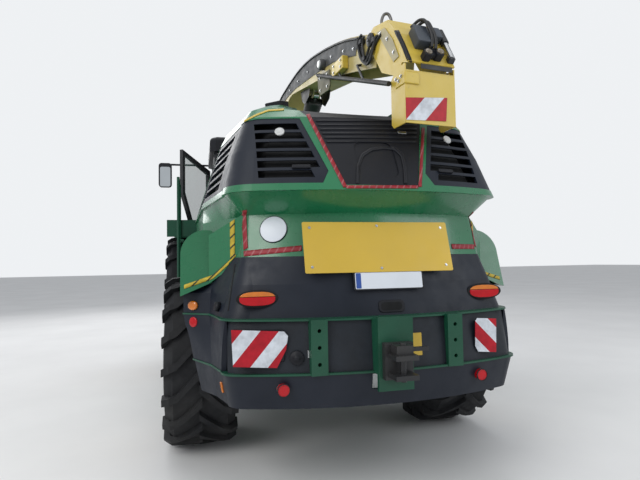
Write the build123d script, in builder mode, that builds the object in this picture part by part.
"""Self-propelled forage harvester, seen as parked: spout over the rear hood, left cab door open.

Units are millimetres. X points forward, Y to the left, Z up from the ground. The origin is on the
ground at the centre of the bounding box. Stations that start with REAR are measured forward from
the rear face of the ballast posts.
"""
from build123d import *
from collections import namedtuple
from math import cos, radians, sin, sqrt
import os

os.makedirs("parts", exist_ok=True)

# Driving dimensions: layout
OVERALL_LENGTH = 6900
REAR = -3170
REAR_AXLE_X = REAR + 1800
WHEELBASE = 3150
FRONT_AXLE_X = REAR_AXLE_X + WHEELBASE
TURRET_X = REAR + 3500
HOOD_FRONT_X = REAR + 3050
CAB_REAR_X = REAR + 4180
FRONT_END_X = OVERALL_LENGTH / 2

# Clearances
FIT = 0.3
RUNNING = 0.05
SEAM = 0.5
MOVING = 8

# Wheels
FRONT_TYRE_RADIUS = 1040
FRONT_TYRE_WIDTH = 800
FRONT_WHEEL_Y = 1290
FRONT_RIM_RADIUS = 470
REAR_TYRE_RADIUS = 770
REAR_TYRE_WIDTH = 620
REAR_WHEEL_Y = 1215
REAR_RIM_RADIUS = 370
FRONT_LUG_HEIGHT = 48
REAR_LUG_HEIGHT = 42
LUG_PAIRS = 18
SPINDLE_RADIUS = 60

# Frame rails
RAIL_BOTTOM = 1180
RAIL_TOP = 1400
REAR_RAIL_IN = 255
REAR_RAIL_OUT = 335
FRONT_RAIL_IN = 440
FRONT_RAIL_OUT = 520
RAIL_REAR_X = REAR + 640
RAIL_JOIN_X = REAR + 3650
RAIL_FRONT_X = REAR + 5950
CROSS_MEMBER = 90

# Steering
KINGPIN_Y = 740
KINGPIN_RADIUS = 35
KINGPIN_BOSS_RADIUS = 80
KINGPIN_BOSS_HEIGHT = 220
KNUCKLE_EAR = 42
KNUCKLE_WEB = 62
STEERING_ARM = 240
ARM_HALF = 34
TIE_ROD_RADIUS = 24
TIE_PIN_RADIUS = 14

# Body skin
SKIN = 28
FLANGE_TOP = 1288
FLANGE_BOTTOM = 933
FLANGE = 12
LOWER_PANEL_TOP = 1700
HOOD_BOTTOM = 2140
HOOD_TOP = 2940
SKIRT_BOTTOM = 710

# Grilles
GRILLE_BOTTOM = 2190
GRILLE_TOP = 2705
GRILLE_FRAME = 42
GRILLE_DEPTH = 22
PANEL_SET = 3
SLAT = 22
SLAT_ROWS = 6
HATCH_TOP = 2828
CORNER_STRIP_Y = 830
SIDE_GRILLE_REAR = REAR + 790
SIDE_GRILLE_FRONT = REAR + 2760
SIDE_BAYS = 3

# Cab
CAB_FLOOR = 2100
CAB_FLOOR_THICK = 60
CAB_ROOF_BOTTOM = 3290
CAB_ROOF_TOP = 3510
ROOF_BROW = 60
CAB_HALF_WIDTH = 1000
CAB_WALL = 55
CAB_CORNER = 80
CAB_FRONT_CORNER_X = REAR + 5480
CAB_FRONT_X = REAR + 5980
DOOR_HINGE_X = REAR + 4450
DOOR_LENGTH = 770
DOOR_THICK = 45
DOOR_OPEN_DEG = 150
HINGE_Y = CAB_HALF_WIDTH + 25
HINGE_PIN = 9
HINGE_RADIUS = 16
HINGE_BARREL = 50
HINGE_LEAF = 18
HINGE_HEIGHTS = (2400, 2850)
GLASS = 8
GLASS_SET = 10

# Decks
DECK_THICK = 30
DECK_TOP = CAB_FLOOR + DECK_THICK
WALKWAY_OUT = 1620
WALKWAY_IN = 1060
WALKWAY_REAR = REAR + 3450
WALKWAY_FRONT = REAR + 5950
DECK_HALF = 1250
KERB = 25
KERB_TOP = 2225
COLUMN_HALF_X = 240
COLUMN_HALF_Y = 260

# Spout
SPOUT_TURN_DEG = -6.57
SPOUT_WIDTH = 350
SPOUT_WALL = 10
SPOUT_PIVOT_Z = 3230
SPOUT_KNUCKLE_RADIUS = 300
TURRET_RADIUS = 330
TURRET_Z = 2760
RING = 60

Section = namedtuple("Section", "z centre_x shoulder_x shoulder_y corner_x corner_y flank_x flank_y front_y")

# Plan sections of the body, x measured forward from the ballast posts
HOOD_SECTIONS = (
    Section(HOOD_BOTTOM, 50, 200, 880, 520, 1060, 1400, 1200, 1270),
    Section(2450, 214, 340, 840, 600, 990, 1400, 1105, 1175),
    Section(2720, 356, 460, 760, 680, 900, 1400, 1020, 1085),
    Section(2810, 560, 520, 700, 720, 850, 1400, 975, 1040),
    Section(2870, 900, 620, 600, 800, 760, 1400, 880, 950),
    Section(HOOD_TOP, 1300, 900, 420, 1000, 560, 1400, 650, 700),
)
BAND_SECTIONS = (
    Section(LOWER_PANEL_TOP, 160, 380, 890, 500, 935, 1200, 1200, 1250),
    Section(2000, 250, 450, 860, 550, 905, 1200, 1190, 1250),
    Section(HOOD_BOTTOM, 80, 228, 850, 540, 1040, 1400, 1180, 1250),
)
LOWER_SECTIONS = (
    Section(FLANGE_TOP, 100, 250, 900, 420, 1080, 700, 1150, 1340),
    Section(1440, 125, 275, 870, 450, 1030, 715, 1140, 1340),
    Section(1510, 135, 290, 870, 465, 1010, 740, 1120, 1160),
    Section(LOWER_PANEL_TOP, 160, 380, 890, 500, 935, 800, 1080, 1110),
)
LOWER_PANEL_FRONT = REAR + 850
BALLAST_TOP = Section(FLANGE_TOP, -5, 200, 960, 420, 1100, 700, 1156, 1348)
BALLAST_BOTTOM = Section(FLANGE_BOTTOM, -25, 150, 1000, 294, 1087, 530, 1145, 1287)
BALLAST_FRONT = REAR + 840
BLOCKS_FRONT = REAR + 580
COVER_SET = 6
COVER_REAR_X = REAR + 280
COVER_IN = 1045
BLOCK_SET = 24
CARRIER_ARM_FRONT = REAR + 900
STEER_SWEEP = 1125
ARCH_TOP = REAR_TYRE_RADIUS * 2 + 60
SKIRT_TOP_SECTION = Section(FLANGE_BOTTOM, -15, 160, 990, 304, 1077, 540, 1135, 1277)
SKIRT_LOW_SECTION = Section(SKIRT_BOTTOM, 30, 200, 940, 344, 1040, 560, 1100, 1240)
CORNER_SHARE = 0.16


def plan_outline(section, front_x, inset=0.0):
    """Bowed rear wall, round corners, flanks, straight across at the front."""
    shoulder = (REAR + section.shoulder_x + inset, section.shoulder_y - inset)
    corner = (REAR + section.corner_x + inset, section.corner_y - inset)
    across = (corner[0] - shoulder[0], corner[1] - shoulder[1])
    bulge = ((shoulder[0] + corner[0]) / 2 - CORNER_SHARE * across[1] - CORNER_SHARE * across[0] / 4,
             (shoulder[1] + corner[1]) / 2 + CORNER_SHARE * across[0])
    flank = (REAR + section.flank_x + inset, section.flank_y - inset)
    front = (front_x, section.front_y - inset)
    centre = (REAR + section.centre_x + inset, 0)

    def right(point):
        return (point[0], -point[1])

    with BuildLine(mode=Mode.PRIVATE) as outline:
        ThreePointArc(shoulder, centre, right(shoulder))
        ThreePointArc(right(shoulder), right(bulge), right(corner))
        Line(right(corner), right(flank))
        Line(right(flank), right(front))
        Line(right(front), front)
        Line(front, flank)
        Line(flank, corner)
        ThreePointArc(corner, bulge, shoulder)
    return outline.line


def wrap_loft(sections, front_x, inset=0.0):
    """Solid through plan sections, its walls drawn in by inset."""
    with BuildPart(mode=Mode.PRIVATE) as body:
        for section in sections:
            with BuildSketch(Plane.XY.offset(section.z)):
                with BuildLine():
                    add(plan_outline(section, front_x, inset))
                make_face()
        loft(ruled=True)
    return body.part


def lowered(sections, depth):
    """The same sections with only the topmost one moved down."""
    return sections[:-1] + (sections[-1]._replace(z=sections[-1].z - depth),)


def prism_x(points, x_from, x_to):
    """Closed y-z outline pushed along X."""
    with BuildPart(mode=Mode.PRIVATE) as body:
        with BuildSketch(Plane.YZ.offset(x_from)):
            with BuildLine():
                Polyline(*points, close=True)
            make_face()
        extrude(amount=x_to - x_from)
    return body.part


def prism_y(points, y_from, y_to):
    """Closed x-z outline pushed along Y."""
    with BuildPart(mode=Mode.PRIVATE) as body:
        with BuildSketch(Plane.XZ.offset(-y_from)):
            with BuildLine():
                Polyline(*points, close=True)
            make_face()
        extrude(amount=-(y_to - y_from))
    return body.part


def across(side, y_near, y_far):
    """Lower and upper y of a stretch on one side of the machine."""
    return min(side * y_near, side * y_far), max(side * y_near, side * y_far)


def block(x_from, x_to, y_from, y_to, z_from, z_to):
    """Box between two corners, kept apart from the part being built."""
    middle = Pos((x_from + x_to) / 2, (y_from + y_to) / 2, (z_from + z_to) / 2)
    return middle * Box(x_to - x_from, y_to - y_from, z_to - z_from, mode=Mode.PRIVATE)


def rearward(x, y, z):
    """Sketch plane facing backwards, its first coordinate along Y."""
    return Plane(origin=(x, y, z), x_dir=(0, 1, 0), z_dir=(-1, 0, 0))


def sideways(x, y, z, side):
    """Sketch plane facing out to one side."""
    return Plane(origin=(x, y, z), z_dir=(0, side, 0))


def save(builder, name):
    """Label a finished piece and write it."""
    builder.part.label = name
    export_step(builder.part, "parts/" + name + ".step")


# Tyres: carcass with chevron lugs whose points lead at the top
def make_tyre(radius, width, rim_radius, lug_height):
    """Tyre on the Y axis, centred on the origin."""
    half = width / 2
    base = radius - lug_height
    with BuildPart() as lug_ring:
        with BuildSketch(Plane.XY.offset(base * 0.86)) as lug_plan:
            with BuildLine():
                Polyline(
                    (0.205 * width + 0.075 * radius, -0.02 * width),
                    (-0.03 * radius, 0.30 * width),
                    (-0.10 * radius, half),
                    (-0.18 * radius, half),
                    (-0.115 * radius, 0.30 * width),
                    (0.205 * width - 0.01 * radius, -0.02 * width),
                    close=True,
                )
            make_face()
        extrude(amount=radius)
    with BuildPart() as band:
        with BuildSketch(Plane.YZ):
            with BuildLine():
                Polyline(
                    (-half * 0.1, base - 12),
                    (half - 60, base - 12),
                    (half - 14, base - 120),
                    (half, base - 100),
                    (half, radius - 46),
                    (half - 60, radius - 8),
                    (0, radius),
                    (-half * 0.1, radius),
                    close=True,
                )
            make_face()
        revolve(axis=Axis.Y)
    lug_left = lug_ring.part & band.part
    lug_right = lug_left.mirror(Plane.XZ)
    pitch = 360 / LUG_PAIRS
    with BuildPart() as tyre:
        with BuildSketch(Plane.YZ):
            with BuildLine():
                Polyline(
                    (-half + 60, rim_radius + FIT),
                    (-half + 6, rim_radius + 0.45 * (base - rim_radius)),
                    (-half + 20, base - 70),
                    (-half + 90, base),
                    (half - 90, base),
                    (half - 20, base - 70),
                    (half - 6, rim_radius + 0.45 * (base - rim_radius)),
                    (half - 60, rim_radius + FIT),
                    close=True,
                )
            make_face()
        revolve(axis=Axis.Y)
        lugs = [lug_left.rotate(Axis.Y, index * pitch) for index in range(LUG_PAIRS)]
        lugs += [lug_right.rotate(Axis.Y, (index + 0.5) * pitch) for index in range(LUG_PAIRS)]
        add(lugs)
    return tyre.part


def make_rim(rim_radius, width, bore):
    """Rim on the Y axis, dish towards +Y, with a hub drum bored for its spindle."""
    half = width / 2 - 40
    with BuildPart() as rim:
        with BuildSketch(Plane.YZ):
            with BuildLine():
                Polyline(
                    (-half, rim_radius),
                    (half, rim_radius),
                    (half, rim_radius - 24),
                    (0.10 * width, rim_radius - 60),
                    (0.04 * width, 150),
                    (0.14 * width, 150),
                    (0.14 * width, bore),
                    (-0.10 * width, bore),
                    (-0.10 * width, 150),
                    (-0.02 * width, 150),
                    (0.04 * width, rim_radius - 66),
                    (-half, rim_radius - 24),
                    close=True,
                )
            make_face()
        revolve(axis=Axis.Y)
    return rim.part


front_tyre = make_tyre(FRONT_TYRE_RADIUS, FRONT_TYRE_WIDTH, FRONT_RIM_RADIUS, FRONT_LUG_HEIGHT)
rear_tyre = make_tyre(REAR_TYRE_RADIUS, REAR_TYRE_WIDTH, REAR_RIM_RADIUS, REAR_LUG_HEIGHT)
front_rim = make_rim(FRONT_RIM_RADIUS, FRONT_TYRE_WIDTH, SPINDLE_RADIUS + RUNNING)
rear_rim = make_rim(REAR_RIM_RADIUS, REAR_TYRE_WIDTH, SPINDLE_RADIUS + RUNNING)

for end, side, tyre, rim, x, y, z in (
    ("front", "left", front_tyre, front_rim, FRONT_AXLE_X, FRONT_WHEEL_Y, FRONT_TYRE_RADIUS),
    ("front", "right", front_tyre, front_rim, FRONT_AXLE_X, -FRONT_WHEEL_Y, FRONT_TYRE_RADIUS),
    ("rear", "left", rear_tyre, rear_rim, REAR_AXLE_X, REAR_WHEEL_Y, REAR_TYRE_RADIUS),
    ("rear", "right", rear_tyre, rear_rim, REAR_AXLE_X, -REAR_WHEEL_Y, REAR_TYRE_RADIUS),
):
    with BuildPart() as wheel_tyre:
        with Locations((x, y, z)):
            add(tyre)
    save(wheel_tyre, f"tyre_{end}_{side}")
    with BuildPart() as wheel_rim:
        with Locations((x, y, z)):
            add(rim if side == "left" else rim.mirror(Plane.XZ))
    save(wheel_rim, f"rim_{end}_{side}")

# Main frame: narrow rails behind, wide rails round the cutterhead, cradle, cab and hood posts
REAR_AXLE_PIN_Z = REAR_TYRE_RADIUS
CRADLE_X = 150
CRADLE_PLATE = 40
AXLE_BEAM = 80
POST = 80
CAB_POST_X = (REAR + 4300, REAR + 5550)
HOOD_POST_X = (REAR + 700, HOOD_FRONT_X - POST / 2)
HOOD_BEAM_HALF = (880, 1100)
OUTRIGGER = 60
OUTRIGGER_HALF = 1560
with BuildPart() as main_frame:
    for side in (1, -1):
        add(block(RAIL_REAR_X, RAIL_JOIN_X, side * (REAR_RAIL_IN + REAR_RAIL_OUT) / 2 - 40,
                  side * (REAR_RAIL_IN + REAR_RAIL_OUT) / 2 + 40, RAIL_BOTTOM, RAIL_TOP))
        add(block(RAIL_JOIN_X - CROSS_MEMBER, RAIL_FRONT_X, side * (FRONT_RAIL_IN + FRONT_RAIL_OUT) / 2 - 40,
                  side * (FRONT_RAIL_IN + FRONT_RAIL_OUT) / 2 + 40, RAIL_BOTTOM, RAIL_TOP))
        for post_x in CAB_POST_X:
            y = side * (FRONT_RAIL_IN + FRONT_RAIL_OUT) / 2
            add(block(post_x, post_x + POST, y - 40, y + 40, RAIL_TOP, CAB_FLOOR))
        for post_x in HOOD_POST_X:
            y = side * (REAR_RAIL_IN + REAR_RAIL_OUT) / 2
            add(block(post_x, post_x + POST, y - 40, y + 40, RAIL_TOP, CAB_FLOOR))
    for cross_x, half in (
        (RAIL_REAR_X, REAR_RAIL_OUT),
        (REAR_AXLE_X - CRADLE_X - CROSS_MEMBER, REAR_RAIL_OUT),
        (REAR_AXLE_X + CRADLE_X, REAR_RAIL_OUT),
        (RAIL_JOIN_X - CROSS_MEMBER, FRONT_RAIL_OUT),
    ):
        add(block(cross_x, cross_x + CROSS_MEMBER, -half, half, RAIL_BOTTOM, RAIL_TOP))
    for cradle_x in (REAR_AXLE_X - CRADLE_X - CRADLE_PLATE, REAR_AXLE_X + CRADLE_X):
        with BuildSketch(Plane.YZ.offset(cradle_x)):
            with BuildLine():
                Polyline((-240, RAIL_BOTTOM), (240, RAIL_BOTTOM), (90, REAR_AXLE_PIN_Z - 60),
                         (-90, REAR_AXLE_PIN_Z - 60), close=True)
            make_face()
        extrude(amount=CRADLE_PLATE)
    for post_x, half in zip(HOOD_POST_X, HOOD_BEAM_HALF):
        add(block(post_x, post_x + POST, -half, half, CAB_FLOOR - POST, CAB_FLOOR))
    for post_x in CAB_POST_X:
        add(block(post_x, post_x + POST, -OUTRIGGER_HALF, OUTRIGGER_HALF, CAB_FLOOR - OUTRIGGER, CAB_FLOOR))
save(main_frame, "main_frame")

# Engine: one plain block across the frame
with BuildPart() as engine:
    add(block(REAR + 1150, REAR + 2500, -500, 500, RAIL_TOP, CAB_FLOOR - POST))
save(engine, "engine")

# Front axle: cross tube, final drives and spindles
FINAL_DRIVE_RADIUS = 250
with BuildPart() as front_axle:
    beam_half = RAIL_BOTTOM - FRONT_TYRE_RADIUS
    add(block(FRONT_AXLE_X - beam_half, FRONT_AXLE_X + beam_half, -620, 620,
              FRONT_TYRE_RADIUS - beam_half, RAIL_BOTTOM))
    for side in (1, -1):
        with BuildSketch(Plane(origin=(FRONT_AXLE_X, side * 600, FRONT_TYRE_RADIUS), z_dir=(0, side, 0))):
            Circle(FINAL_DRIVE_RADIUS)
        extrude(amount=250)
        with BuildSketch(Plane(origin=(FRONT_AXLE_X, side * 600, FRONT_TYRE_RADIUS), z_dir=(0, side, 0))):
            Circle(SPINDLE_RADIUS)
        extrude(amount=FRONT_WHEEL_Y + 60 - 600)
save(front_axle, "front_axle")

# Rear axle: beam on its centre pin, with a boss for each kingpin
with BuildPart() as rear_axle:
    with BuildSketch(Plane.YZ.offset(REAR_AXLE_X - AXLE_BEAM)):
        with BuildLine():
            Polyline(
                (-KINGPIN_Y, REAR_AXLE_PIN_Z - 70), (-300, REAR_AXLE_PIN_Z - 100),
                (300, REAR_AXLE_PIN_Z - 100), (KINGPIN_Y, REAR_AXLE_PIN_Z - 70),
                (KINGPIN_Y, REAR_AXLE_PIN_Z + 70), (300, REAR_AXLE_PIN_Z + 120),
                (-300, REAR_AXLE_PIN_Z + 120), (-KINGPIN_Y, REAR_AXLE_PIN_Z + 70), close=True)
        make_face()
    extrude(amount=2 * AXLE_BEAM)
    with BuildSketch(Plane.YZ.offset(REAR_AXLE_X - CRADLE_X)):
        with Locations((0, REAR_AXLE_PIN_Z + 40)):
            Circle(60)
    extrude(amount=2 * CRADLE_X)
    for side in (1, -1):
        with BuildSketch(Plane.XY.offset(REAR_AXLE_PIN_Z - KINGPIN_BOSS_HEIGHT / 2)):
            with Locations((REAR_AXLE_X, side * KINGPIN_Y)):
                Circle(KINGPIN_BOSS_RADIUS)
        extrude(amount=KINGPIN_BOSS_HEIGHT)
    for side in (1, -1):
        with BuildSketch(Plane.XY.offset(REAR_AXLE_PIN_Z - KINGPIN_BOSS_HEIGHT / 2)):
            with Locations((REAR_AXLE_X, side * KINGPIN_Y)):
                Circle(KINGPIN_RADIUS + RUNNING)
        extrude(amount=KINGPIN_BOSS_HEIGHT, mode=Mode.SUBTRACT)
save(rear_axle, "rear_axle")

# Steering knuckles: fork over the boss, kingpin, spindle and steering arm
TIE_PIN_Z = REAR_AXLE_PIN_Z - KINGPIN_BOSS_HEIGHT / 2 - KNUCKLE_EAR - TIE_ROD_RADIUS * 2
for side, name in ((1, "left"), (-1, "right")):
    fork_low = REAR_AXLE_PIN_Z - KINGPIN_BOSS_HEIGHT / 2 - KNUCKLE_EAR
    fork_high = REAR_AXLE_PIN_Z + KINGPIN_BOSS_HEIGHT / 2 + KNUCKLE_EAR
    web_in = side * (KINGPIN_Y + KINGPIN_BOSS_RADIUS + MOVING)
    web_out = side * (KINGPIN_Y + KINGPIN_BOSS_RADIUS + MOVING + KNUCKLE_WEB)
    with BuildPart() as knuckle:
        for ear_z in (fork_low, fork_high - KNUCKLE_EAR + RUNNING):
            with BuildSketch(Plane.XY.offset(ear_z)):
                with Locations((REAR_AXLE_X, side * KINGPIN_Y)):
                    Circle(KINGPIN_BOSS_RADIUS)
                with Locations((REAR_AXLE_X, (side * KINGPIN_Y + web_out) / 2)):
                    Rectangle(2 * KINGPIN_BOSS_RADIUS, abs(web_out) - KINGPIN_Y)
            extrude(amount=KNUCKLE_EAR - RUNNING)
        add(block(REAR_AXLE_X - KINGPIN_BOSS_RADIUS, REAR_AXLE_X + KINGPIN_BOSS_RADIUS,
                  min(web_in, web_out), max(web_in, web_out), fork_low, fork_high))
        with BuildSketch(Plane.XY.offset(fork_low)):
            with Locations((REAR_AXLE_X, side * KINGPIN_Y)):
                Circle(KINGPIN_RADIUS)
        extrude(amount=fork_high - fork_low)
        with BuildSketch(Plane(origin=(REAR_AXLE_X, web_in, REAR_AXLE_PIN_Z), z_dir=(0, side, 0))):
            Circle(SPINDLE_RADIUS)
        extrude(amount=REAR_WHEEL_Y + 60 - abs(web_in))
        add(block(REAR_AXLE_X - STEERING_ARM - ARM_HALF, REAR_AXLE_X - 40, side * KINGPIN_Y - ARM_HALF,
                  side * KINGPIN_Y + ARM_HALF, fork_low, fork_low + KNUCKLE_EAR - RUNNING))
        with BuildSketch(Plane.XY.offset(TIE_PIN_Z - TIE_ROD_RADIUS)):
            with Locations((REAR_AXLE_X - STEERING_ARM, side * KINGPIN_Y)):
                Circle(TIE_PIN_RADIUS)
        extrude(amount=fork_low - TIE_PIN_Z + TIE_ROD_RADIUS + 1)
    save(knuckle, f"knuckle_{name}")

# Tie rod between the two steering arms
with BuildPart() as tie_rod:
    tie_x = REAR_AXLE_X - STEERING_ARM
    with BuildSketch(Plane(origin=(tie_x, -KINGPIN_Y + 30, TIE_PIN_Z), z_dir=(0, 1, 0))):
        Circle(TIE_ROD_RADIUS)
    extrude(amount=2 * (KINGPIN_Y - 30))
    for side in (1, -1):
        with BuildSketch(Plane.XY.offset(TIE_PIN_Z - TIE_ROD_RADIUS)):
            with Locations((tie_x, side * KINGPIN_Y)):
                Circle(38)
        extrude(amount=2 * TIE_ROD_RADIUS - 1)
    for side in (1, -1):
        with BuildSketch(Plane.XY.offset(TIE_PIN_Z - 2 * TIE_ROD_RADIUS)):
            with Locations((tie_x, side * KINGPIN_Y)):
                Circle(TIE_PIN_RADIUS + RUNNING)
        extrude(amount=4 * TIE_ROD_RADIUS, mode=Mode.SUBTRACT)
save(tie_rod, "tie_rod")


# Wraparound windows for the grilles and the rear hatch, cut by the same outlines
def inner_edge(z):
    """Half width of the strip beside the hatch at height z."""
    return 330 + (z - GRILLE_BOTTOM) * (505 - 330) / (GRILLE_TOP - GRILLE_BOTTOM)


def hatch_edge(z):
    """Half width of the hatch at height z."""
    return 262 + (z - HOOD_BOTTOM) * (440 - 262) / (GRILLE_TOP - HOOD_BOTTOM)


def grille_window(side, grow):
    """Left or right window: the rear part and the side part in one."""
    low = GRILLE_BOTTOM - grow
    high = GRILLE_TOP + grow
    rear = prism_x(
        [(side * (inner_edge(low + 90) - grow), low + 90), (side * (inner_edge(high) - grow), high),
         (side * 1400, high), (side * 1400, low), (side * (inner_edge(low) + 80 - grow), low)],
        REAR - 100, SIDE_GRILLE_REAR)
    flank = block(SIDE_GRILLE_REAR - 1, SIDE_GRILLE_FRONT + grow, *across(side, 700, 1500), low, high)
    return rear + flank


def hatch_window(grow):
    low = HOOD_BOTTOM + 36 - grow
    high = HATCH_TOP + grow
    return prism_x(
        [(hatch_edge(low) + grow, low), (hatch_edge(high) + grow, high),
         (-hatch_edge(high) - grow, high), (-hatch_edge(low) - grow, low)],
        REAR - 100, REAR + 700)


hood_outer = wrap_loft(HOOD_SECTIONS, HOOD_FRONT_X)
hood_inner = wrap_loft(lowered(HOOD_SECTIONS, SKIN), HOOD_FRONT_X - SKIN, SKIN)
panel_outer = wrap_loft(HOOD_SECTIONS, HOOD_FRONT_X, PANEL_SET)
panel_inner = wrap_loft(HOOD_SECTIONS, HOOD_FRONT_X - SKIN, PANEL_SET + GRILLE_DEPTH)

# Hood: hollow, its windows left open for the grilles and the hatch
with BuildPart() as hood:
    add(hood_outer)
    add(hood_inner, mode=Mode.SUBTRACT)
    for side in (1, -1):
        add(grille_window(side, SEAM), mode=Mode.SUBTRACT)
    add(hatch_window(SEAM), mode=Mode.SUBTRACT)
save(hood, "hood")

panel_slab = panel_outer - panel_inner

# Louvred grilles that wrap round the rear corners
SLOT_PITCH = (GRILLE_TOP - GRILLE_BOTTOM - 2 * GRILLE_FRAME + SLAT) / SLAT_ROWS
for side, name in ((1, "left"), (-1, "right")):
    with BuildPart() as grille:
        add(panel_slab & grille_window(side, 0))
        for row in range(SLAT_ROWS):
            low = GRILLE_BOTTOM + GRILLE_FRAME + row * SLOT_PITCH
            high = low + SLOT_PITCH - SLAT
            start = GRILLE_FRAME + (70 if row == 0 else 0)
            add(prism_x([(side * (inner_edge(low) + start), low), (side * (inner_edge(high) + start), high),
                         (side * CORNER_STRIP_Y, high), (side * CORNER_STRIP_Y, low)],
                        REAR - 100, SIDE_GRILLE_REAR - 60), mode=Mode.SUBTRACT)
            bay = (SIDE_GRILLE_FRONT - GRILLE_FRAME - SIDE_GRILLE_REAR + SLAT) / SIDE_BAYS
            for index in range(SIDE_BAYS):
                add(block(SIDE_GRILLE_REAR + index * bay, SIDE_GRILLE_REAR + (index + 1) * bay - SLAT,
                          *across(side, 860, 1500), low, high), mode=Mode.SUBTRACT)
    save(grille, f"grille_{name}")

# Rear hatch: dark panel between the grilles with a bare shallow recess
RECESS_Z = 2375
RECESS_WIDTH = 300
RECESS_HEIGHT = 290
RECESS_ROUND = 70
RECESS_DEPTH = 9
with BuildPart(mode=Mode.PRIVATE) as recess_cut:
    with BuildSketch(Plane.YZ.offset(REAR - 100)):
        with Locations((0, RECESS_Z)):
            RectangleRounded(RECESS_WIDTH, RECESS_HEIGHT, RECESS_ROUND)
    extrude(amount=700)
recess_slab = wrap_loft(HOOD_SECTIONS, HOOD_FRONT_X, PANEL_SET + RECESS_DEPTH) - panel_inner
with BuildPart() as rear_hatch:
    add((panel_slab & hatch_window(0)) - recess_cut.part)
    add(recess_slab & recess_cut.part)
save(rear_hatch, "rear_hatch")

# Rear panel: leaning green band under the hood, run out to its lip
band_outer = wrap_loft(BAND_SECTIONS, HOOD_FRONT_X)
with BuildPart() as rear_panel:
    add(band_outer)
    add(wrap_loft(BAND_SECTIONS, HOOD_FRONT_X + 1, SKIN), mode=Mode.SUBTRACT)
save(rear_panel, "rear_panel")

# Lower panel: grey moulding with oval lamp pockets
LAMP_Y = 847
LAMP_Z = 1420
LAMP_HALF_WIDTH = 125
LAMP_HALF_HEIGHT = 48
REFLECTOR_Y = 705
REFLECTOR_Z = 846
REFLECTOR_RADIUS = 38
lower_outer = wrap_loft(LOWER_SECTIONS, LOWER_PANEL_FRONT)
with BuildPart() as lower_panel:
    add(lower_outer)
    add(wrap_loft(LOWER_SECTIONS, LOWER_PANEL_FRONT + 1, SKIN), mode=Mode.SUBTRACT)
    for side in (1, -1):
        with BuildSketch(rearward(REAR + 400, side * LAMP_Y, LAMP_Z)):
            Ellipse(LAMP_HALF_WIDTH + FIT, LAMP_HALF_HEIGHT + FIT)
        extrude(amount=400, mode=Mode.SUBTRACT)
save(lower_panel, "lower_panel")

# Ballast carrier: flanges, drilled posts and hitch plate
POST_Y = 479
POST_WIDTH = 110
POST_HOLE_RADIUS = 13
POST_HOLE_PITCH = 107
PLATE_HALF = 120
PLATE_TOP = 1300
PLATE_BOTTOM = 830
PLATE_X = REAR - 100
steer_room = [Pos(REAR_AXLE_X, side * KINGPIN_Y, ARCH_TOP / 2) * Cylinder(STEER_SWEEP, ARCH_TOP)
              for side in (1, -1)]
flange_body = wrap_loft((BALLAST_BOTTOM, BALLAST_TOP), BALLAST_FRONT)
flange_body = flange_body - steer_room - block(RAIL_REAR_X, BALLAST_FRONT + 100, -700, 700, 0, 3000)
with BuildPart() as ballast_carrier:
    add(flange_body & block(REAR - 200, BALLAST_FRONT, -1500, 1500, FLANGE_TOP - FLANGE, FLANGE_TOP))
    add(flange_body & block(REAR - 200, BALLAST_FRONT, -1500, 1500, FLANGE_BOTTOM, FLANGE_BOTTOM + FLANGE))
    for side in (1, -1):
        add(block(REAR, REAR + 120, side * POST_Y - POST_WIDTH / 2, side * POST_Y + POST_WIDTH / 2,
                  FLANGE_BOTTOM, FLANGE_TOP))
        add(block(REAR + 60, CARRIER_ARM_FRONT, *across(side, REAR_RAIL_IN, REAR_RAIL_OUT),
                  FLANGE_BOTTOM, RAIL_BOTTOM))
    add(block(PLATE_X, PLATE_X + 30, -PLATE_HALF, PLATE_HALF, PLATE_BOTTOM, PLATE_TOP))
    add(block(PLATE_X, REAR + 120, -PLATE_HALF, -PLATE_HALF + 30, FLANGE_BOTTOM, FLANGE_TOP))
    add(block(PLATE_X, REAR + 120, PLATE_HALF - 30, PLATE_HALF, FLANGE_BOTTOM, FLANGE_TOP))
    for side in (1, -1):
        with BuildSketch(Plane.YZ.offset(REAR)):
            with Locations(*[(side * POST_Y, (FLANGE_TOP + FLANGE_BOTTOM) / 2 + row * POST_HOLE_PITCH)
                             for row in (-1, 0, 1)]):
                Circle(POST_HOLE_RADIUS)
        extrude(amount=60, mode=Mode.SUBTRACT)
save(ballast_carrier, "ballast_carrier")

# Ballast blocks between the flanges
with BuildPart() as ballast_blocks:
    add(wrap_loft((BALLAST_BOTTOM, BALLAST_TOP), BALLAST_FRONT, BLOCK_SET)
        & block(REAR - 200, BLOCKS_FRONT, -COVER_IN + SEAM, COVER_IN - SEAM, FLANGE_BOTTOM + FLANGE,
                FLANGE_TOP - FLANGE))
    add(block(REAR - 200, REAR + 121, -POST_Y - POST_WIDTH / 2 - SEAM, -POST_Y + POST_WIDTH / 2 + SEAM,
              0, 3000), mode=Mode.SUBTRACT)
    add(block(REAR - 200, REAR + 121, POST_Y - POST_WIDTH / 2 - SEAM, POST_Y + POST_WIDTH / 2 + SEAM,
              0, 3000), mode=Mode.SUBTRACT)
    add(block(REAR - 200, REAR + 121, -PLATE_HALF - SEAM, PLATE_HALF + SEAM, 0, 3000), mode=Mode.SUBTRACT)
    for side in (1, -1):
        add(block(REAR + 59, BLOCKS_FRONT + 10, *across(side, REAR_RAIL_IN - SEAM, REAR_RAIL_OUT + SEAM),
                  0, 3000), mode=Mode.SUBTRACT)
save(ballast_blocks, "ballast_blocks")

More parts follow.
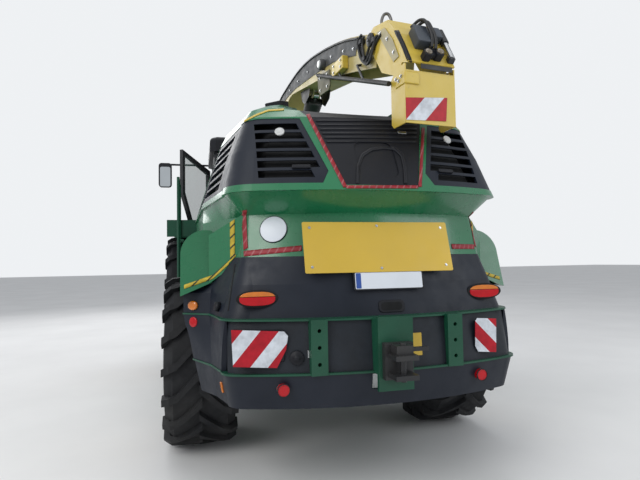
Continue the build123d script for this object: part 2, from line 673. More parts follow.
# Skirt under the ballast, and side covers between its flanges
with BuildPart() as skirt:
    cover_band = wrap_loft((BALLAST_BOTTOM, BALLAST_TOP), BALLAST_FRONT, COVER_SET)
    cover_band = cover_band - wrap_loft((BALLAST_BOTTOM, BALLAST_TOP), BALLAST_FRONT + 1, COVER_SET + SKIN)
    cover_band = cover_band - steer_room
    for side in (1, -1):
        add(cover_band & block(COVER_REAR_X, BALLAST_FRONT, *across(side, COVER_IN, 1500),
                               FLANGE_BOTTOM + FLANGE, FLANGE_TOP - FLANGE))
    add(wrap_loft((SKIRT_LOW_SECTION, SKIRT_TOP_SECTION), BALLAST_FRONT))
    add(wrap_loft((SKIRT_LOW_SECTION, SKIRT_TOP_SECTION), BALLAST_FRONT + 1, SKIN), mode=Mode.SUBTRACT)
    add(steer_room, mode=Mode.SUBTRACT)
    for side in (1, -1):
        with BuildSketch(rearward(REAR + 250, side * REFLECTOR_Y, REFLECTOR_Z)):
            Circle(REFLECTOR_RADIUS + FIT)
        extrude(amount=400, mode=Mode.SUBTRACT)
    add(block(REAR - 100, REAR + 60, -PLATE_HALF - MOVING, PLATE_HALF + MOVING, PLATE_BOTTOM - MOVING, 1000),
        mode=Mode.SUBTRACT)
save(skirt, "skirt")

# Drawbar coupling: jaw with an upright pin and its lever
JAW_REAR = -OVERALL_LENGTH / 2
JAW_PIN_X = JAW_REAR + 70
JAW_PIN_RADIUS = 19
JAW_LOW = 960
JAW_GAP = 90
JAW_PLATE = 30
with BuildPart() as coupling:
    add(block(PLATE_X - 50, PLATE_X, -95, 95, JAW_LOW - JAW_PLATE - 20, JAW_LOW + JAW_GAP + JAW_PLATE + 60))
    for plate_z in (JAW_LOW - JAW_PLATE, JAW_LOW + JAW_GAP):
        add(block(JAW_REAR, PLATE_X, -75, 75, plate_z, plate_z + JAW_PLATE))
    with BuildSketch(Plane.XY.offset(JAW_LOW - JAW_PLATE - 20)):
        with Locations((JAW_PIN_X, 0)):
            Circle(JAW_PIN_RADIUS)
    extrude(amount=JAW_GAP + 2 * JAW_PLATE + 90)
    add(block(JAW_PIN_X - 35, PLATE_X - 20, -55, 55, JAW_LOW + JAW_GAP + JAW_PLATE,
              JAW_LOW + JAW_GAP + JAW_PLATE + 55))
    add(block(JAW_PIN_X - 12, JAW_PIN_X + 12, -170, -50, JAW_LOW + JAW_GAP + JAW_PLATE + 15,
              JAW_LOW + JAW_GAP + JAW_PLATE + 40))
save(coupling, "coupling")

# Tail lamps, round reflectors and side lamps
with BuildPart() as tail_lamps:
    for side in (1, -1):
        with BuildSketch(rearward(REAR + 300, side * LAMP_Y, LAMP_Z)):
            Ellipse(LAMP_HALF_WIDTH, LAMP_HALF_HEIGHT)
        extrude(amount=75)
        with BuildSketch(rearward(REAR + 92, side * REFLECTOR_Y, REFLECTOR_Z)):
            Circle(REFLECTOR_RADIUS)
        extrude(amount=40)
save(tail_lamps, "tail_lamps")

# Rear fenders: bulged boxes over the rear wheels with a sweep into the body's corner, open below
FENDER_IN = 1120
FENDER_OUT = 1360
FENDER_LOW = 1420
FENDER_LOW_IN = 1520
FENDER_TOP = 1915
FENDER_SHOULDER = (1330, 1835)
FENDER_SIDE_TOP = 1745
FENDER_REAR = REAR + 700
FENDER_FRONT = REAR + 2900
FENDER_LEAN = 170
SWEEP_CORNER_X = REAR + 505
SWEEP_CORNER_Y = 900
SWEEP_TOP = 2020


def fender_profile(inset, low):
    """Fender outline across the machine: crowned top, upright side, lower edge falling outwards."""
    with BuildLine(mode=Mode.PRIVATE) as outline:
        Line((FENDER_IN, low + FENDER_LOW_IN - FENDER_LOW), (FENDER_IN, FENDER_TOP - inset))
        ThreePointArc((FENDER_IN, FENDER_TOP - inset),
                      (FENDER_SHOULDER[0] - inset * 0.7, FENDER_SHOULDER[1] - inset * 0.7),
                      (FENDER_OUT - inset, FENDER_SIDE_TOP))
        Line((FENDER_OUT - inset, FENDER_SIDE_TOP), (FENDER_OUT - inset, low))
        Line((FENDER_OUT - inset, low), (FENDER_IN, low + FENDER_LOW_IN - FENDER_LOW))
    return outline.line


def fender_run(inset, low):
    """Profile pushed along the wheel, its ends leaning in."""
    with BuildPart(mode=Mode.PRIVATE) as run:
        with BuildSketch(Plane.YZ.offset(FENDER_REAR - 10)):
            with BuildLine():
                add(fender_profile(inset, low))
            make_face()
        extrude(amount=FENDER_FRONT - FENDER_REAR + 20)
    ends = prism_y([(FENDER_REAR + inset, FENDER_LOW - 60),
                    (FENDER_REAR + inset + FENDER_LEAN, FENDER_TOP + 20),
                    (FENDER_FRONT - inset - FENDER_LEAN / 2, FENDER_TOP + 20),
                    (FENDER_FRONT - inset, FENDER_LOW - 60)],
                   FENDER_IN - 10, FENDER_OUT + 10)
    return run.part & ends


def upright(x, y, low, high):
    """One end of the sweep: an upright quad as thick as the skin."""
    inner_x = x + SKIN
    inner_y = y - SKIN / 2
    return Wire.make_polygon([(x, y, low), (inner_x, inner_y, low), (inner_x, inner_y, high), (x, y, high)],
                             close=True)


with BuildPart() as fenders:
    for side in (1, -1):
        body_end = upright(SWEEP_CORNER_X, SWEEP_CORNER_Y, LOWER_PANEL_TOP, SWEEP_TOP)
        fender_end = upright(FENDER_REAR + 40, FENDER_IN + 30, FENDER_LOW_IN - 10, FENDER_TOP - 40)
        sweep = Solid.make_loft([body_end, fender_end], ruled=True)
        bulge = fender_run(0, FENDER_LOW) - fender_run(SKIN, FENDER_LOW - 100)
        bulge = bulge - block(FENDER_REAR + 300, FENDER_FRONT - 180, FENDER_IN - 20, FENDER_OUT + 20,
                              FENDER_LOW - 20, ARCH_TOP)
        wing = bulge + sweep - band_outer - lower_outer
        add(wing if side > 0 else wing.mirror(Plane.XZ))
save(fenders, "fenders")

# Side tanks between the wheels
TANK_REAR = REAR + 2960
TANK_FRONT = REAR + 3840
TANK_OUT = 1180
TANK_IN = 560
TANK_BOTTOM = 900
TANK_TOP = 2000
TANK_ROUND = 60
with BuildPart() as side_tanks:
    for side in (1, -1):
        add(block(TANK_REAR, TANK_FRONT, *across(side, TANK_IN, TANK_OUT), TANK_BOTTOM, TANK_TOP))
    fillet(side_tanks.edges().filter_by(Axis.Y), TANK_ROUND)
    for side in (1, -1):
        add(block(TANK_REAR + 200, TANK_FRONT - 300, *across(side, REAR_RAIL_OUT, TANK_IN),
                  RAIL_BOTTOM, RAIL_BOTTOM + 60))
save(side_tanks, "side_tanks")

# Decks: behind the cab and beside it over the front wheels
with BuildPart() as decks:
    add(block(HOOD_FRONT_X + 5, CAB_REAR_X - 5, -DECK_HALF, DECK_HALF, CAB_FLOOR, DECK_TOP))
    for side in (1, -1):
        add(block(WALKWAY_REAR, WALKWAY_FRONT, *across(side, WALKWAY_IN, WALKWAY_OUT), CAB_FLOOR, DECK_TOP))
        add(block(WALKWAY_REAR, WALKWAY_REAR + DECK_THICK, *across(side, DECK_HALF, WALKWAY_OUT),
                  CAB_FLOOR - 90, KERB_TOP))
        add(block(WALKWAY_REAR, WALKWAY_FRONT, *across(side, WALKWAY_OUT - KERB, WALKWAY_OUT),
                  CAB_FLOOR, KERB_TOP))
    add(block(TURRET_X - COLUMN_HALF_X - 5, REAR + 4140, -COLUMN_HALF_Y - 5, COLUMN_HALF_Y + 5,
              CAB_FLOOR - DECK_THICK, DECK_TOP + 1), mode=Mode.SUBTRACT)
save(decks, "decks")

# Handrails and ladders
RAIL_TUBE = 17
LADDER_X = REAR + 2990
LADDER_WIDTH = 440
LADDER_Y = 1460
LADDER_RUNG = 60
with BuildPart() as handrails:
    with BuildSketch(Plane.XY.offset(1350)):
        with Locations((LADDER_X, LADDER_Y), (LADDER_X + LADDER_WIDTH, LADDER_Y)):
            Circle(RAIL_TUBE)
    extrude(amount=1350)
    with BuildSketch(Plane(origin=(LADDER_X, LADDER_Y, 2700 - RAIL_TUBE), z_dir=(1, 0, 0))):
        Circle(RAIL_TUBE)
    extrude(amount=LADDER_WIDTH)
    for step in range(4):
        add(block(LADDER_X, LADDER_X + LADDER_WIDTH, LADDER_Y - LADDER_RUNG, LADDER_Y, 1360 + step * 190,
                  1385 + step * 190))
    for step in (0, 2):
        add(block(LADDER_X + 200, LADDER_X + 240, TANK_OUT, LADDER_Y, 1360 + step * 190, 1385 + step * 190))
save(handrails, "handrails")

# Cutterhead housing, crop channel and turret column
HOUSING_REAR = REAR + 5150
FEED_REAR = REAR + 5800
with BuildPart() as crop_channel:
    with BuildSketch(Plane.XZ.offset(-COLUMN_HALF_Y)):
        with BuildLine():
            Polyline(
                (HOUSING_REAR, 1200), (HOUSING_REAR, 1560), (REAR + 4700, 1640), (REAR + 4160, 2090),
                (TURRET_X + COLUMN_HALF_X, 2200), (TURRET_X + COLUMN_HALF_X, TURRET_Z),
                (TURRET_X - COLUMN_HALF_X, TURRET_Z), (TURRET_X - COLUMN_HALF_X, 2050),
                (REAR + 3960, 1480), (REAR + 4300, 1200), close=True)
        make_face()
    extrude(amount=2 * COLUMN_HALF_Y)
    with BuildSketch(Plane.XY.offset(TURRET_Z - RING)):
        with Locations((TURRET_X, 0)):
            Circle(TURRET_RADIUS)
    extrude(amount=RING)
    with BuildSketch(Plane.XY.offset(2300)):
        with Locations((TURRET_X, 0)):
            Rectangle(2 * COLUMN_HALF_X - 40, 2 * COLUMN_HALF_Y - 40)
    extrude(amount=TURRET_Z, mode=Mode.SUBTRACT)
save(crop_channel, "crop_channel")

with BuildPart() as cutterhead_housing:
    with BuildSketch(Plane.XZ.offset(-FRONT_RAIL_IN)):
        with BuildLine():
            Polyline(
                (HOUSING_REAR, 620), (HOUSING_REAR, 1500), (REAR + 5400, 1650), (REAR + 5750, 1500),
                (FEED_REAR, 1250), (FEED_REAR, 520), (REAR + 5400, 450), close=True)
        make_face()
    extrude(amount=2 * FRONT_RAIL_IN)
save(cutterhead_housing, "cutterhead_housing")

# Feed housing with its mouth open to the front, and two feed rolls inside
FEED_HALF = 400
FEED_WALL = 30
FEED_LOW = 560
FEED_HIGH = 1300
FEED_ROLL_X = FEED_REAR + 380
FEED_ROLL_PIN = 30
FEED_FRONT = FRONT_END_X - 60
with BuildPart() as feed_housing:
    add(block(FEED_REAR, FEED_FRONT, -FEED_HALF, FEED_HALF, FEED_LOW, FEED_HIGH))
    add(block(FEED_REAR + FEED_WALL, FEED_FRONT + 1, -FEED_HALF + FEED_WALL, FEED_HALF - FEED_WALL,
              FEED_LOW + 40, FEED_HIGH - 40), mode=Mode.SUBTRACT)
save(feed_housing, "feed_housing")

with BuildPart() as header_frame:
    add(block(FEED_FRONT, FRONT_END_X, -620, 620, 480, 1480))
    add(block(FEED_FRONT - 1, FRONT_END_X + 1, -FEED_HALF, FEED_HALF, FEED_LOW, FEED_HIGH),
        mode=Mode.SUBTRACT)
    with BuildSketch(Plane.YZ.offset(FEED_FRONT)):
        with Locations(*[(side * 560, z) for side in (-1, 1) for z in (620, 1240)]):
            Circle(13)
    extrude(amount=60, mode=Mode.SUBTRACT)
save(header_frame, "header_frame")

for name, z, radius in (("feed_roll_upper", 1080, 150), ("feed_roll_lower", 740, 120)):
    with BuildPart() as feed_roll:
        with BuildSketch(Plane(origin=(FEED_ROLL_X, -FEED_HALF + 50, z), z_dir=(0, 1, 0))):
            Circle(radius)
        extrude(amount=2 * (FEED_HALF - 50))
        with BuildSketch(Plane(origin=(FEED_ROLL_X, -FEED_HALF + FEED_WALL + FIT, z), z_dir=(0, 1, 0))):
            Circle(FEED_ROLL_PIN)
        extrude(amount=2 * (FEED_HALF - FEED_WALL - FIT))
    save(feed_roll, name)


# Cab: shell of walls with its windows cut
def cab_outline(grow):
    """Cab seen from above: straight sides, bowed front."""
    half = CAB_HALF_WIDTH + grow
    rear = CAB_REAR_X - grow
    with BuildLine(mode=Mode.PRIVATE) as outline:
        Polyline((CAB_FRONT_CORNER_X, half), (rear + CAB_CORNER, half), (rear, half - CAB_CORNER),
                 (rear, -half + CAB_CORNER), (rear + CAB_CORNER, -half), (CAB_FRONT_CORNER_X, -half))
        ThreePointArc((CAB_FRONT_CORNER_X, -half), (CAB_FRONT_X + grow, 0), (CAB_FRONT_CORNER_X, half))
    return outline.line


def cab_prism(grow, low, high):
    """Cab outline grown and raised between two heights."""
    with BuildPart(mode=Mode.PRIVATE) as body:
        with BuildSketch(Plane.XY.offset(low)):
            with BuildLine():
                add(cab_outline(grow))
            make_face()
        extrude(amount=high - low)
    return body.part


SILL = CAB_FLOOR + CAB_FLOOR_THICK + 30
HEADER = CAB_ROOF_BOTTOM - 60
DOOR_GAP = 6
DOOR_TIP_GAP = 14
cab_cuts = (
    block(CAB_FRONT_CORNER_X + 40, CAB_FRONT_X + 200, -900, 900, SILL, HEADER),
    block(CAB_REAR_X - 50, CAB_REAR_X + 100, -820, 820, SILL + 250, HEADER),
    block(DOOR_HINGE_X, CAB_FRONT_CORNER_X - 60, -CAB_HALF_WIDTH - 50, -CAB_HALF_WIDTH + 100, SILL, HEADER),
)
door_cut = block(DOOR_HINGE_X - DOOR_GAP, DOOR_HINGE_X + DOOR_LENGTH + DOOR_TIP_GAP, CAB_HALF_WIDTH - 100,
                 CAB_HALF_WIDTH + 50, CAB_FLOOR + CAB_FLOOR_THICK, HEADER)
with BuildPart() as cab_frame:
    add(cab_prism(0, CAB_FLOOR, CAB_ROOF_BOTTOM))
    add(cab_prism(-CAB_WALL, CAB_FLOOR + CAB_FLOOR_THICK, CAB_ROOF_BOTTOM + 1), mode=Mode.SUBTRACT)
    for cut in cab_cuts + (door_cut,):
        add(cut, mode=Mode.SUBTRACT)
    for hinge_z in HINGE_HEIGHTS:
        for leaf_z in (hinge_z - HINGE_BARREL / 2 - FIT - HINGE_LEAF, hinge_z + HINGE_BARREL / 2 + FIT):
            add(block(DOOR_HINGE_X - 60, DOOR_HINGE_X, CAB_HALF_WIDTH - 1, HINGE_Y + HINGE_PIN,
                      leaf_z, leaf_z + HINGE_LEAF))
            with BuildSketch(Plane.XY.offset(leaf_z)):
                with Locations((DOOR_HINGE_X, HINGE_Y)):
                    Circle(HINGE_RADIUS)
            extrude(amount=HINGE_LEAF)
        with BuildSketch(Plane.XY.offset(hinge_z - HINGE_BARREL / 2 - HINGE_LEAF)):
            with Locations((DOOR_HINGE_X, HINGE_Y)):
                Circle(HINGE_PIN)
        extrude(amount=HINGE_BARREL + 2 * HINGE_LEAF)
save(cab_frame, "cab_frame")

with BuildPart() as cab_glass:
    glass_slab = (cab_prism(-GLASS_SET, CAB_FLOOR, CAB_ROOF_BOTTOM)
                  - cab_prism(-GLASS_SET - GLASS, CAB_FLOOR - 1, CAB_ROOF_BOTTOM + 1))
    for cut in cab_cuts:
        add(glass_slab & cut.scale(0.9995))
save(cab_glass, "cab_glass")

with BuildPart() as cab_roof:
    add(cab_prism(ROOF_BROW, CAB_ROOF_BOTTOM, CAB_ROOF_TOP))
    fillet(cab_roof.edges().group_by(Axis.Z)[-1], 70)
save(cab_roof, "cab_roof")

# Seat and steering console
with BuildPart() as seat:
    add(block(REAR + 4800, REAR + 5300, -250, 250, 2560, 2680))
    add(block(REAR + 4700, REAR + 4800, -240, 240, 2560, 3150))
save(seat, "seat")

with BuildPart() as console:
    add(block(REAR + 4900, REAR + 5200, -150, 150, CAB_FLOOR + CAB_FLOOR_THICK, 2560))
    add(block(REAR + 5560, REAR + 5680, -60, 60, CAB_FLOOR + CAB_FLOOR_THICK, 2780))
save(console, "console")

# Mirrors on arms from the roof's front corners
MIRROR_X = REAR + 5450
MIRROR_ARM_Z = 3330
MIRROR_ARM = 16
MIRROR_TOP = MIRROR_ARM_Z + MIRROR_ARM + 4
MIRROR_OUT = 1870
MIRROR_WIDTH = 210
MIRROR_HEIGHT = 406
MIRROR_THICK = 60
MIRROR_ROUND = 50
with BuildPart() as mirrors:
    for side in (1, -1):
        with BuildSketch(sideways(MIRROR_X, side * (CAB_HALF_WIDTH + ROOF_BROW), MIRROR_ARM_Z, side)):
            Circle(MIRROR_ARM)
        extrude(amount=MIRROR_OUT - 130 - CAB_HALF_WIDTH - ROOF_BROW)
        with BuildSketch(Plane.YZ.offset(MIRROR_X - MIRROR_THICK / 2)):
            with Locations((side * (MIRROR_OUT - MIRROR_WIDTH / 2), MIRROR_TOP - MIRROR_HEIGHT / 2)):
                RectangleRounded(MIRROR_WIDTH, MIRROR_HEIGHT, MIRROR_ROUND)
        extrude(amount=MIRROR_THICK)
save(mirrors, "mirrors")

# Cab door, drawn in its own plane from the hinge line, open as parked
door_turn = radians(DOOR_OPEN_DEG)
door_plane = Plane(origin=(DOOR_HINGE_X, HINGE_Y, 0), x_dir=(cos(door_turn), sin(door_turn), 0),
                   z_dir=(sin(door_turn), -cos(door_turn), 0))
DOOR_SET = HINGE_Y - CAB_HALF_WIDTH
DOOR_STILE = 60
DOOR_BEND = 540
DOOR_BEND_TOP = 2620
DOOR_SIDE_HIGH = 3050
DOOR_EDGE_HIGH = 3220


def door_outline(inset):
    """Door outline in its own plane, drawn in by inset."""
    with BuildLine(mode=Mode.PRIVATE) as outline:
        Polyline((MOVING + inset, SILL + inset), (DOOR_BEND - inset / 2, SILL + inset),
                 (DOOR_LENGTH - inset, DOOR_BEND_TOP + inset / 4),
                 (DOOR_LENGTH - inset, DOOR_EDGE_HIGH - inset),
                 (MOVING + inset, DOOR_SIDE_HIGH - inset), close=True)
    return outline.line


with BuildPart() as cab_door:
    with BuildSketch(door_plane.offset(DOOR_SET)):
        make_face(door_outline(0))
        make_face(door_outline(DOOR_STILE), mode=Mode.SUBTRACT)
    extrude(amount=DOOR_THICK)
    for hinge_z in HINGE_HEIGHTS:
        with BuildSketch(Plane.XY.offset(hinge_z - HINGE_BARREL / 2)):
            with Locations((DOOR_HINGE_X, HINGE_Y)):
                Circle(HINGE_RADIUS)
        extrude(amount=HINGE_BARREL)
        with BuildSketch(door_plane.offset(-8)):
            with Locations((34, hinge_z)):
                Rectangle(52, HINGE_BARREL)
        extrude(amount=DOOR_SET + 10)
        with BuildSketch(Plane.XY.offset(hinge_z - HINGE_BARREL)):
            with Locations((DOOR_HINGE_X, HINGE_Y)):
                Circle(HINGE_PIN + RUNNING)
        extrude(amount=2 * HINGE_BARREL, mode=Mode.SUBTRACT)
save(cab_door, "cab_door")

with BuildPart() as door_glass:
    with BuildSketch(door_plane.offset(DOOR_SET + DOOR_THICK / 2)):
        make_face(door_outline(DOOR_STILE + SEAM))
    extrude(amount=GLASS / 2, both=True)
save(door_glass, "door_glass")

# Spout, drawn in the upright plane through the turret axis, turned as parked. In that plane the
# first coordinate is the distance out from the turret axis and the second is the height.
turn = radians(180 - SPOUT_TURN_DEG)
spout_plane = Plane(origin=(TURRET_X, 0, 0), x_dir=(cos(turn), sin(turn), 0),
                    z_dir=(sin(turn), -cos(turn), 0))
EAR = 16
EAR_GAP = 5
PIVOT_RADIUS = 30
LIFT_FOOT = (330, 2975)
LIFT_EYE = (1050, 3612)
FOOT_PIN = 22
LIFT_NECK = 80
LIFT_BARREL = 500
LIFT_BARREL_RADIUS = 55
LIFT_ROD_RADIUS = 30
ROD_EYE_RADIUS = 38
ROD_EYE_HALF = 30
LIFT_BORE = LIFT_NECK + 20
GUARD_LENGTH = 420
GUARD_END = 62
GUARD_LOW_RADIUS = LIFT_BARREL_RADIUS + MOVING + SPOUT_WALL
GUARD_HIGH_RADIUS = 100
TIP_PIVOT = (2895, 3440)
TIP_PIN = 20
FLAP_PIVOT = (3360, 3000)
FLAP_PIN = 14
with BuildPart() as spout_base:
    with BuildSketch(Plane.XY.offset(TURRET_Z + FIT)):
        with Locations((TURRET_X, 0)):
            Circle(TURRET_RADIUS)
            Circle(TURRET_RADIUS - 120, mode=Mode.SUBTRACT)
    extrude(amount=RING)
    with BuildSketch(spout_plane):
        with BuildLine():
            Polyline((-240, TURRET_Z + RING), (240, TURRET_Z + RING), (290, SPOUT_PIVOT_Z),
                     (-290, SPOUT_PIVOT_Z), close=True)
        make_face()
    extrude(amount=SPOUT_WIDTH / 2 + EAR_GAP + EAR, both=True)
    with BuildSketch(spout_plane):
        with Locations((0, SPOUT_PIVOT_Z)):
            Circle(SPOUT_KNUCKLE_RADIUS + MOVING)
        with BuildLine():
            Polyline((-200, TURRET_Z), (200, TURRET_Z), (240, SPOUT_PIVOT_Z), (-240, SPOUT_PIVOT_Z),
                     close=True)
        make_face()
    extrude(amount=SPOUT_WIDTH / 2 + EAR_GAP, both=True, mode=Mode.SUBTRACT)
    for side in (1, -1):
        with BuildSketch(spout_plane.offset(side * (ROD_EYE_HALF + FIT))):
            with BuildLine():
                Polyline((170, TURRET_Z + 30), (170, 2915), (LIFT_FOOT[0], LIFT_FOOT[1] + 45),
                         (LIFT_FOOT[0] + 45, LIFT_FOOT[1]), (300, TURRET_Z + 30), close=True)
            make_face()
        extrude(amount=side * EAR)
    with BuildSketch(spout_plane):
        with Locations(LIFT_FOOT):
            Circle(FOOT_PIN)
    extrude(amount=ROD_EYE_HALF + EAR, both=True)
    with BuildSketch(spout_plane):
        with Locations((0, SPOUT_PIVOT_Z)):
            Circle(PIVOT_RADIUS + RUNNING)
    extrude(amount=SPOUT_WIDTH, both=True, mode=Mode.SUBTRACT)
save(spout_base, "spout_base")

# Spout arm: curved duct, closed over the knuckle and open below further out
ARM_BACK = -0.85 * SPOUT_KNUCKLE_RADIUS
BACK_TOP = 3480
BACK_BEND = (-60, 3740)
BEND_TOP = (300, 3860)
CROWN_MID = (1000, 3925)
CROWN_END = (1700, 3848)
SLOPE_MID = (2350, 3692)
ARM_TIP_TOP = (2960, 3465)
ARM_TIP_LOW = (2930, 3205)
UNDERSIDE = (1700, 3560)
BEND_LOW = (760, 3715)
NECK_BEND = (380, 3600)


def lifted(point, depth):
    """The same point in the spout's plane, moved down."""
    return (point[0], point[1] - depth)


def arm_run(wall):
    """Duct solid along the spout; a wall above zero gives the room inside, open below past the bend."""
    back = ARM_BACK + wall
    neck = -ARM_BACK - wall
    foot = SPOUT_PIVOT_Z if not wall else SPOUT_PIVOT_Z - 2 * SPOUT_KNUCKLE_RADIUS
    tip = ARM_TIP_TOP if not wall else (ARM_TIP_TOP[0] + 240, ARM_TIP_TOP[1] - 90 - wall)
    with BuildPart(mode=Mode.PRIVATE) as run:
        with BuildSketch(spout_plane):
            with BuildLine():
                Line((back, foot), (back, BACK_TOP))
                ThreePointArc((back, BACK_TOP), lifted(BACK_BEND, wall), lifted(BEND_TOP, wall))
                ThreePointArc(lifted(BEND_TOP, wall), lifted(CROWN_MID, wall), lifted(CROWN_END, wall))
                ThreePointArc(lifted(CROWN_END, wall), lifted(SLOPE_MID, wall), tip)
                if wall:
                    Polyline(tip, (tip[0], 2900), (UNDERSIDE[0], 3300), lifted(UNDERSIDE, -wall),
                             lifted(BEND_LOW, -wall))
                else:
                    Polyline(tip, ARM_TIP_LOW, UNDERSIDE, BEND_LOW)
                ThreePointArc(lifted(BEND_LOW, -wall), lifted(NECK_BEND, -wall), (neck, SPOUT_PIVOT_Z))
                Line((neck, SPOUT_PIVOT_Z), (neck, foot)) if wall else None
                Line((neck, foot), (back, foot))
            make_face()
        extrude(amount=SPOUT_WIDTH / 2 - wall, both=True)
    return run.part


with BuildPart() as spout_arm:
    add(arm_run(0))
    with BuildSketch(spout_plane):
        with Locations((0, SPOUT_PIVOT_Z)):
            Circle(SPOUT_KNUCKLE_RADIUS)
    extrude(amount=SPOUT_WIDTH / 2, both=True)
    add(arm_run(SPOUT_WALL), mode=Mode.SUBTRACT)
    for side in (1, -1):
        with BuildSketch(spout_plane.offset(side * (SPOUT_WIDTH / 2 - SPOUT_WALL))):
            with Locations((0, SPOUT_PIVOT_Z)):
                Circle(PIVOT_RADIUS)
        extrude(amount=side * (SPOUT_WALL + EAR_GAP + EAR + 10))
        with BuildSketch(spout_plane.offset(side * (SPOUT_WIDTH / 2 - SPOUT_WALL))):
            with Locations(TIP_PIVOT):
                Circle(TIP_PIN)
        extrude(amount=side * (2 * SPOUT_WALL + 20))
    for side in (1, -1):
        with BuildSketch(spout_plane.offset(side * (ROD_EYE_HALF + FIT))):
            with BuildLine():
                Polyline((LIFT_EYE[0] - 60, LIFT_EYE[1] + 70), (LIFT_EYE[0] + 60, LIFT_EYE[1] + 50),
                         (LIFT_EYE[0] + 25, LIFT_EYE[1] - 30), (LIFT_EYE[0] - 25, LIFT_EYE[1] - 30),
                         close=True)
            make_face()
        extrude(amount=side * EAR)
save(spout_arm, "spout_arm")

# Deflector: sloping channel on pins at the arm's tip, cut back round the flap's hinge
PLATE_IN = SPOUT_WIDTH / 2 + MOVING
CHEEK_TOP = (2935, 3528)
BROW_X = 2995
BEND = (3172, 3476)
FACE_MID = (3312, 3312)
LIP = (3452, 3052)
HINGE_ROOM = 53
BOSS = 40
FACE_THICK = 12
with BuildPart() as deflector:
    with BuildSketch(spout_plane):
        with BuildLine():
            Polyline((2850, 3490), CHEEK_TOP, BEND, FACE_MID, LIP, (3438, 3046), (3363, 3074), (3340, 3034),
                     (3325, 2982), (3060, 3110), (2870, 3380), close=True)
        make_face()
        with Locations(FLAP_PIVOT):
            Circle(BOSS)
    extrude(amount=PLATE_IN + SPOUT_WALL, both=True)
    with BuildSketch(spout_plane):
        with BuildLine():
            Polyline((2800, 3700), (BROW_X, 3700), (BROW_X, CHEEK_TOP[1] - 28),
                     (BEND[0] - FACE_THICK / 2, BEND[1] - FACE_THICK),
                     (FACE_MID[0] - FACE_THICK, FACE_MID[1] - 6), (LIP[0] - FACE_THICK - 2, LIP[1] + 4),
                     (LIP[0] - FACE_THICK - 2, 2900), (2800, 2900), close=True)
        make_face()
        with Locations(FLAP_PIVOT):
            Circle(HINGE_ROOM)
    extrude(amount=PLATE_IN, both=True, mode=Mode.SUBTRACT)
    with BuildSketch(spout_plane):
        with Locations(TIP_PIVOT):
            Circle(TIP_PIN + RUNNING)
        with Locations(FLAP_PIVOT):
            Circle(FLAP_PIN + RUNNING)
    extrude(amount=PLATE_IN + 2 * SPOUT_WALL, both=True, mode=Mode.SUBTRACT)
save(deflector, "deflector")

# Flap: hanging channel over the deflector's low end, on pins
FLAP_IN = PLATE_IN + SPOUT_WALL + 5
FLAP_FACE = 3426
FLAP_DEPTH = 200
FLAP_LOW = 2622
FLAP_FACE_TOP = 3000
FLAP_CORNER = 30
with BuildPart() as flap:
    with BuildSketch(spout_plane):
        with BuildLine():
            Polyline((FLAP_FACE, FLAP_PIVOT[1] + 45), (FLAP_FACE, FLAP_LOW),
                     (FLAP_FACE - FLAP_DEPTH + FLAP_CORNER, FLAP_LOW),
                     (FLAP_FACE - FLAP_DEPTH, FLAP_LOW + FLAP_CORNER),
                     (FLAP_FACE - FLAP_DEPTH, FLAP_PIVOT[1] - 20),
                     (FLAP_PIVOT[0] - 50, FLAP_PIVOT[1] + 45), close=True)
        make_face()
    extrude(amount=FLAP_IN + SPOUT_WALL, both=True)
    with BuildSketch(spout_plane):
        with BuildLine():
            Polyline((FLAP_FACE - FACE_THICK, FLAP_LOW - 10), (FLAP_FACE - FACE_THICK, FLAP_FACE_TOP),
                     (FLAP_FACE + 10, FLAP_FACE_TOP), (FLAP_FACE + 10, 3200), (3000, 3200),
                     (3000, FLAP_LOW - 10), close=True)
        make_face()
    extrude(amount=FLAP_IN, both=True, mode=Mode.SUBTRACT)
    for side in (1, -1):
        with BuildSketch(spout_plane.offset(side * (FLAP_IN + SPOUT_WALL / 2))):
            with Locations(FLAP_PIVOT):
                Circle(FLAP_PIN)
        extrude(amount=-side * (2 * SPOUT_WALL + SPOUT_WALL / 2))
save(flap, "flap")

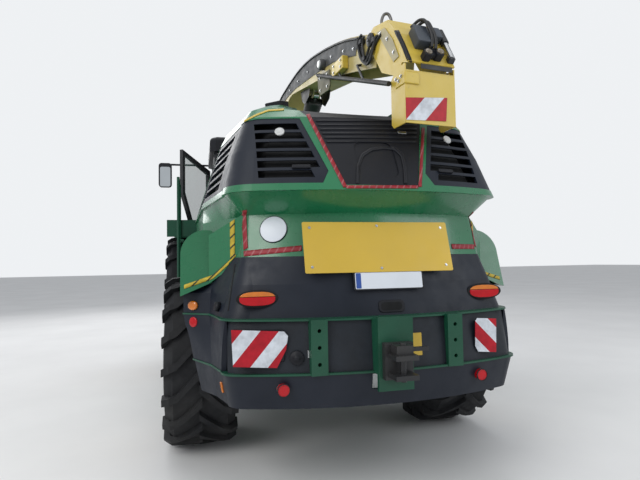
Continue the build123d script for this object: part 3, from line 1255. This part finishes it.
# Lift cylinder between the turret and the lugs under the arm
lift_span = sqrt((LIFT_EYE[0] - LIFT_FOOT[0]) ** 2 + (LIFT_EYE[1] - LIFT_FOOT[1]) ** 2)
lift_along = ((LIFT_EYE[0] - LIFT_FOOT[0]) / lift_span, (LIFT_EYE[1] - LIFT_FOOT[1]) / lift_span)
lift_from = spout_plane.from_local_coords(Vector(LIFT_FOOT[0], LIFT_FOOT[1], 0))
lift_to = spout_plane.from_local_coords(Vector(LIFT_EYE[0], LIFT_EYE[1], 0))
lift_plane = Plane(origin=lift_from, z_dir=lift_to - lift_from)
with BuildPart() as lift_barrel:
    with BuildSketch(lift_plane.offset(LIFT_NECK)):
        Circle(LIFT_BARREL_RADIUS)
    extrude(amount=LIFT_BARREL)
    with BuildSketch(lift_plane.offset(FOOT_PIN)):
        Circle(ROD_EYE_HALF)
    extrude(amount=LIFT_NECK)
    with BuildSketch(spout_plane):
        with Locations(LIFT_FOOT):
            Circle(2 * FOOT_PIN)
    extrude(amount=ROD_EYE_HALF, both=True)
    with BuildSketch(spout_plane):
        with Locations(LIFT_FOOT):
            Circle(FOOT_PIN + RUNNING)
    extrude(amount=LIFT_BARREL_RADIUS, both=True, mode=Mode.SUBTRACT)
    with BuildSketch(lift_plane.offset(LIFT_BORE)):
        Circle(LIFT_ROD_RADIUS + RUNNING)
    extrude(amount=lift_span, mode=Mode.SUBTRACT)
save(lift_barrel, "lift_barrel")
with BuildPart() as lift_rod:
    with BuildSketch(lift_plane.offset(LIFT_BORE + 20)):
        Circle(LIFT_ROD_RADIUS)
    extrude(amount=lift_span - LIFT_BORE - 20)
    with BuildSketch(lift_plane.offset(lift_span - GUARD_LENGTH)):
        Circle(GUARD_LOW_RADIUS)
    with BuildSketch(lift_plane.offset(lift_span - GUARD_END)):
        Circle(GUARD_HIGH_RADIUS)
    loft()
    with BuildSketch(lift_plane.offset(lift_span - GUARD_LENGTH)):
        Circle(GUARD_LOW_RADIUS - SPOUT_WALL)
    with BuildSketch(lift_plane.offset(lift_span - GUARD_END - 2 * SPOUT_WALL)):
        Circle(GUARD_HIGH_RADIUS - 2 * SPOUT_WALL)
    loft(mode=Mode.SUBTRACT)
    with BuildSketch(lift_plane.offset(lift_span - GUARD_LENGTH)):
        Circle(LIFT_ROD_RADIUS)
    extrude(amount=GUARD_LENGTH)
    with BuildSketch(spout_plane):
        with Locations(LIFT_EYE):
            Circle(ROD_EYE_RADIUS)
    extrude(amount=ROD_EYE_HALF, both=True)
save(lift_rod, "lift_rod")
